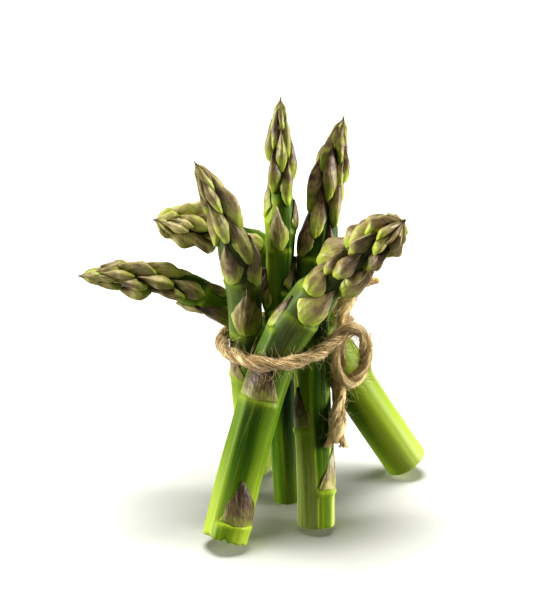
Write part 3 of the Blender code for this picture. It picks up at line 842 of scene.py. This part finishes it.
def scale_skin():
    """Scale leaf: lime at the fleshy base, olive, then dry purple-brown, streaked, pale-margined."""
    material, tree, shader = new_material(
        "scale_leaf_skin", Roughness=0.42, Subsurface_Weight=0.14, Subsurface_Scale=1.2 * MM, IOR=1.42
    )
    shader.inputs["Subsurface Radius"].default_value = (0.8, 0.8, 0.3)
    grain = put(tree, "ShaderNodeAttribute", attribute_name="grain").outputs["Vector"]
    span, side, hue, pale, lime = [
        put(tree, "ShaderNodeAttribute", attribute_name=name).outputs["Fac"]
        for name in ("span", "side", "hue", "pale", "lime")
    ]
    streak_mm = 0.55
    noises = [
        # stretch, detail, roughness
        ((1 / streak_mm, 0.09, 1.0), 4.0, 0.62),
        ((0.38, 0.38, 0.38), 3.0, 0.5),
        ((0.55, 0.22, 1.0), 3.0, 0.5),
        ((1.1, 0.42, 1.0), 4.0, 0.5),
    ]
    heights = []
    for stretch, detail, roughness in noises:
        place = put(tree, "ShaderNodeVectorMath", {0: grain, 1: stretch}, operation="MULTIPLY").outputs[0]
        noise = {0: place, "Scale": 1.0, "Detail": detail, "Roughness": roughness}
        heights.append(put(tree, "ShaderNodeTexNoise", noise).outputs["Fac"])
    streaks, patch, cream, wrinkles = heights
    ranges = [
        (streaks, 0.3, 0.7, -0.24, 0.24), (patch, 0.3, 0.7, -0.26, 0.26), (hue, -1.0, 1.0, -0.62, 0.24),
        (streaks, 0.52, 0.72, 0.0, 0.5), (side, 0.80, 0.97, 0.0, 0.8), (hue, -0.3, 0.3, 0.0, 1.0),
        (cream, 0.40, 0.62, 0.25, 1.5),
    ]
    shift, drift, ripe, fleck, hem, aged, creamy = [
        put(tree, "ShaderNodeMapRange", dict(enumerate(ends))).outputs[0] for ends in ranges
    ]
    age = put(tree, "ShaderNodeMath", {0: span, 1: shift}, operation="ADD").outputs[0]
    limy = put(tree, "ShaderNodeMapRange", {0: age, 1: 0.02, 2: 0.34, 3: 0.95, 4: 0.0}).outputs[0]
    for more in (drift, ripe):
        age = put(tree, "ShaderNodeMath", {0: age, 1: more}, operation="ADD").outputs[0]
    stops = [
        (0.0, "#a4ac4c"), (0.18, "#99994e"), (0.34, "#8b844c"), (0.52, "#7b6c4a"),
        (0.70, "#66513e"), (0.88, "#4c392d"), (1.0, "#48362b"),
    ]
    colour = put(tree, "ShaderNodeValToRGB", {0: age}, stops).outputs[0]
    hem_stops = [(0.0, "#bcc552"), (0.18, "#ab9f66"), (0.45, "#745a45"), (1.0, "#503b31")]
    hem_tone = put(tree, "ShaderNodeValToRGB", {0: span}, hem_stops).outputs[0]
    hem = put(tree, "ShaderNodeMath", {0: hem, 1: aged}, operation="MULTIPLY").outputs[0]
    creamy, dusk, limy = [
        put(tree, "ShaderNodeMath", {0: one, 1: other}, operation="MULTIPLY", use_clamp=True).outputs[0]
        for one, other in ((creamy, pale), (pale, -1.0), (limy, lime))
    ]
    layers = [
        (fleck, linear("#ccc184")), (hem, hem_tone), (creamy, linear("#d6cb92")),
        (dusk, linear("#3f2f22")), (limy, linear("#b0c348")),
    ]
    for share, over in layers:
        colour = put(tree, "ShaderNodeMix", {0: share, 6: colour, 7: over}, data_type="RGBA").outputs[2]
    tree.links.new(colour, shader.inputs["Base Color"])
    dents = put(tree, "ShaderNodeBump", {"Height": wrinkles, "Distance": 0.5 * MM, "Strength": 0.7})
    relief = {"Height": streaks, "Distance": 0.14 * MM, "Strength": 0.9, "Normal": dents.outputs[0]}
    bump = put(tree, "ShaderNodeBump", relief)
    tree.links.new(bump.outputs[0], shader.inputs["Normal"])
    return material


# Leaves below this many mm of stem are of the low kind: older, flatter and drier than the upper ones.
LOW_UNTIL = 50
LOW_LEAF = dict(outline=low_leaf_outline, dip=0.06, young=-0.8, plump=0.6, lime=0.15)
UPPER_LEAF = dict(outline=leaf_outline, dip=0.26, young=-0.30, plump=0.75, lime=0.7)

leaf_skin = scale_skin()
for letter, spear in spears.items():
    for number, (base, degrees, size, half, lean, swell) in enumerate(LEAVES[letter], start=1):
        width = 2 * math.radians(half) * float(spear.core(base))
        scale = (base, degrees, size, width, lean, swell)
        pale = LEAF_TONES.get((letter, number), spear.pale)
        kind = LOW_LEAF if base < LOW_UNTIL else UPPER_LEAF
        (verts, faces), values = scale_shape(spear, scale, ord(letter) * 100 + number, pale=pale, **kind)
        leaf = add_piece(f"spear_{letter}_leaf_{number}", "scale_leaf", leaf_skin, verts, faces, **values)
        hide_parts(f"spear_{letter}_scale_{number}")


# The buds: the closed tip of each spear, where the scales crowd and lap over one another, each fatter
# than those on the stem because it covers a side shoot. The scales that crown one side are placed one
# by one, and the far side has the same ones half a turn round. For each: stem below its base in mm,
# direction in degrees, length, width, lean and swell.

BUDS = {
    "a": [
        (97.3, -48, 11, 6.0, -8, 1.0), (99.0, -12, 13, 8.8, -4, 1.25), (108.1, -42, 12, 7.0, 4, 1.25),
        (116.1, -62, 10, 5.2, -20, 1.1), (108.9, -85, 14, 6.0, -5, 1.0), (106.5, -110, 13, 7.0, 0, 1.2),
        (116.1, -105, 9, 5.0, 0, 1.0), (118.5, -22, 9.5, 4.4, -10, 1.1), (114.3, 6, 9.5, 5.4, -12, 1.2),
        (118.7, 42, 9, 4.4, -15, 1.0), (115.1, 75, 9, 5.0, 0, 1.0), (107.6, 45, 12, 7.0, -12, 1.2),
        (94.0, 58, 15, 9.5, 22, 1.6), (99.0, 40, 9, 4.4, 20, 0.9),
    ],
    "b": [
        (106.7, 56, 19.5, 7.6, 4, 1.55), (118.7, 75, 14, 4.8, -20, 1.0), (114.7, 4, 14, 5.0, -15, 1.1),
        (121.7, 28, 12.5, 3.6, -30, 1.0), (118.7, -38, 12, 4.0, -10, 1.0), (104.2, -16, 15.5, 6.8, -18, 1.15),
        (95.0, 36, 18, 7.8, -4, 1.3), (114.7, -70, 14, 5.0, 15, 1.0), (102.7, -78, 15, 6.5, 0, 1.1),
    ],
    "c": [
        (111.3, -38, 14, 6.6, 12, 1.2), (107.4, 28, 14.5, 6.4, 6, 1.2), (117.8, 5, 13.5, 5.2, 0, 1.2),
        (125.6, -32, 12.5, 4.2, 0, 1.1), (121.1, -80, 13, 5.4, -5, 1.1), (130.2, -75, 11, 3.7, 35, 1.0),
        (123.2, 42, 13.5, 4.6, 8, 1.1), (114.5, 80, 14, 5.6, 4, 0.9), (131.1, 22, 9, 2.8, -40, 1.0),
        (133.4, 60, 8.5, 2.8, -30, 1.0),
    ],
    "d": [
        (127.1, -15, 9, 3.6, -35, 1.0), (122.7, 30, 12.5, 4.4, -35, 1.1), (109.7, 8, 17, 6.8, -32, 1.25),
        (118.9, -50, 16.5, 5.8, -15, 1.1), (105.1, -60, 17.5, 7.0, -25, 1.2), (97.0, -15, 17, 7.4, -20, 1.3),
        (102.1, 40, 18, 7.0, 0, 1.25), (116.3, 66, 11.5, 5.0, -12, 1.1), (129.5, 58, 9, 3.0, -45, 1.0),
        (112.5, 38, 12, 4.4, 0, 0.9),
    ],
    "e": [
        (94.1, -16, 13, 5.6, -3, 1.2), (97.4, 73, 12.5, 5.6, 20, 1.2), (99.6, 19, 13.5, 6.8, 6, 1.3),
        (105.6, 44, 13, 5.6, 35, 1.2), (108.5, -8, 12, 5.2, 4, 1.2), (113.3, 20, 12, 4.8, 25, 1.15),
        (106.4, -42, 11, 5.0, -25, 1.1), (118.3, 62, 9, 3.3, -8, 1.0), (114.5, 105, 10, 4.4, 0, 1.1),
        (118.8, 2, 10, 3.6, 8, 1.0), (116.8, -52, 10, 4.2, -15, 1.0), (122.8, -70, 8.5, 3.0, 0, 1.0),
        (123.6, 35, 8, 3.0, 0, 1.0),
    ],
    "f": [
        (131.9, 59, 7, 4.0, 0, 1.1), (125.0, 95, 9, 5.6, -10, 1.2), (126.5, 24, 8.5, 5.0, 12, 1.1),
        (127.9, 3, 9.5, 5.6, 8, 1.1), (121.8, -30, 13, 6.6, -18, 1.2), (121.3, 30, 11, 7.2, 20, 1.25),
        (115.8, -48, 13, 7.4, 40, 1.25), (110.8, -20, 12, 7.6, 20, 1.25), (113.8, 60, 12, 7.0, 0, 1.25),
    ],
}
GOLDEN_ANGLE = 137.5
MIRRORED_WITHIN = 72  # degrees of the front: these scales have a partner half a turn round
MIRRORED_BELOW = 12  # mm under the tip
CROWN_SCALES = 9  # the small ones at the very tip
CROWN_BELOW = 10.5  # mm under the tip that the first of them starts
CROWN_RISE = 0.75  # mm from one to the next
SLIM = "bcd"  # the spears whose bud scales are longer and flatter


def bud_scales(spear):
    """Every scale of a spear's bud, in the order that they grow."""
    scales = list(BUDS[spear.letter])
    draw = np.random.default_rng(ord(spear.letter) + 5)
    for base, degrees, size, width, lean, swell in BUDS[spear.letter]:
        if abs(degrees) < MIRRORED_WITHIN and base < spear.length - MIRRORED_BELOW:
            drift = draw.uniform(-8, 8)
            scales.append((base + draw.uniform(0.5, 2.5), degrees + 180 + drift, size, width, -lean, swell))
    for i in range(CROWN_SCALES):
        base = spear.length - CROWN_BELOW + CROWN_RISE * i
        size = spear.length + 0.3 - base
        scales.append((base, GOLDEN_ANGLE * i, size, 2.9 - 0.18 * i, 15, 0.9))
    return sorted(scales)


for letter, spear in spears.items():
    shapes, values = [], {}
    for number, (base, degrees, size, width, lean, swell) in enumerate(bud_scales(spear)):
        longer, flatter = (1.12, 0.85) if letter in SLIM else (1.0, 1.0)
        size = min(size * longer, spear.length + 0.4 - base)
        room = 0.35 + float(spear.room(base + size * 0.3))
        scale = (base, degrees, size, width, lean, swell * flatter * room)
        young = 0.18 + 0.6 * float(smoothstep(base, spear.length - 14, spear.length - 7))
        seed = ord(letter) * 100 + 20 + number
        shape, scale_values = scale_shape(spear, scale, seed, bud_outline, 0.20, young, spear.pale)
        shapes.append(shape)
        for key, value in scale_values.items():
            values.setdefault(key, []).append(value)
    verts, faces = joined(shapes)
    values = {key: np.concatenate(value) for key, value in values.items()}
    bud = add_piece(f"spear_{letter}_bud", "tip_scales", leaf_skin, verts, faces, **values)
    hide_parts(f"spear_{letter}_tip")


# The setting: a plain pale floor with a painted shadow greying it round the bunch, a wide soft light low at
# each side, a weaker one overhead, and a surround that is brighter behind the bunch than in front and dims
# upwards. To the camera it is white.

def pale_floor():
    """Matt white board, faintly uneven in tone, with a painted shadow greying it round the bunch; paler from
    10 cm out.
    """
    material, tree, shader = new_material("white_board", Roughness=0.7)
    place = put(tree, "ShaderNodeTexCoord").outputs["Object"]
    cloud = put(tree, "ShaderNodeTexNoise", {0: place, "Scale": 3.0}).outputs["Fac"]
    painted_shadow_tone = put(tree, "ShaderNodeValToRGB", {0: cloud}, [(0.3, "#aeaea7"), (0.7, "#b3b3ac")]).outputs[0]
    # Painted shadow: the floor is painted greyer within about 10 cm of the bunch.
    offset = put(tree, "ShaderNodeVectorMath", {0: place, 1: (0.012, -0.004, 0.0)}, operation="SUBTRACT")
    apart = put(tree, "ShaderNodeVectorMath", {0: offset.outputs[0]}, operation="LENGTH").outputs["Value"]
    clear_of_painted_shadow = put(tree, "ShaderNodeMapRange", {0: apart, 1: 0.01, 2: 0.10, 3: 0.0, 4: 1.0}).outputs[0]
    swept = put(tree, "ShaderNodeMix", {0: clear_of_painted_shadow, 6: painted_shadow_tone, 7: linear("#eeeeea")}, data_type="RGBA").outputs[2]
    tree.links.new(swept, shader.inputs["Base Color"])
    return material


bpy.ops.mesh.primitive_plane_add(size=6.0, location=(0, 0, 0))
floor = bpy.context.object
floor.name = "floor"
floor.data.materials.append(pale_floor())
floor.visible_diffuse = False  # it throws no light up on the bunch

SUNS = [
    # name, direction it comes from, strength, angular size in degrees
    ("left", (-1.0, -0.16, 0.05), 4.9, 28),
    ("right", (1.0, -0.10, 0.07), 4.9, 28),
    ("top", (-0.06, 0.10, 1.0), 3.1, 30),
]
for name, source, strength, spread in SUNS:
    lamp = bpy.data.lights.new(name, "SUN")
    lamp.energy = strength
    lamp.angle = math.radians(spread)
    light = bpy.data.objects.new(name, lamp)
    light.rotation_euler = Vector(source).to_track_quat("Z", "Y").to_euler()
    bpy.context.scene.collection.objects.link(light)

world = bpy.data.worlds.new("studio")
bpy.context.scene.world = world
world.use_nodes = True
tree = world.node_tree
way = put(tree, "ShaderNodeTexCoord").outputs["Generated"]
split = put(tree, "ShaderNodeSeparateXYZ", {0: way})
behind = put(tree, "ShaderNodeMapRange", {0: split.outputs["Y"], 1: -0.6, 2: 0.8, 3: 0.17, 4: 0.60})
over = put(tree, "ShaderNodeMapRange", {0: split.outputs["Z"], 1: 0.0, 2: 0.8, 3: 1.0, 4: 0.05})
dome = put(tree, "ShaderNodeMath", {0: behind.outputs[0], 1: over.outputs[0]}, operation="MULTIPLY")
seen = put(tree, "ShaderNodeLightPath").outputs["Is Camera Ray"]
strength = put(tree, "ShaderNodeMix", {0: seen, 2: dome.outputs[0], 3: 1.05}, data_type="FLOAT")
background = tree.nodes["Background"]
background.inputs["Color"].default_value = linear("#ffffff")
tree.links.new(strength.outputs[0], background.inputs["Strength"])
bpy.context.scene.view_settings.view_transform = "Standard"
bpy.context.scene.view_settings.look = "High Contrast"
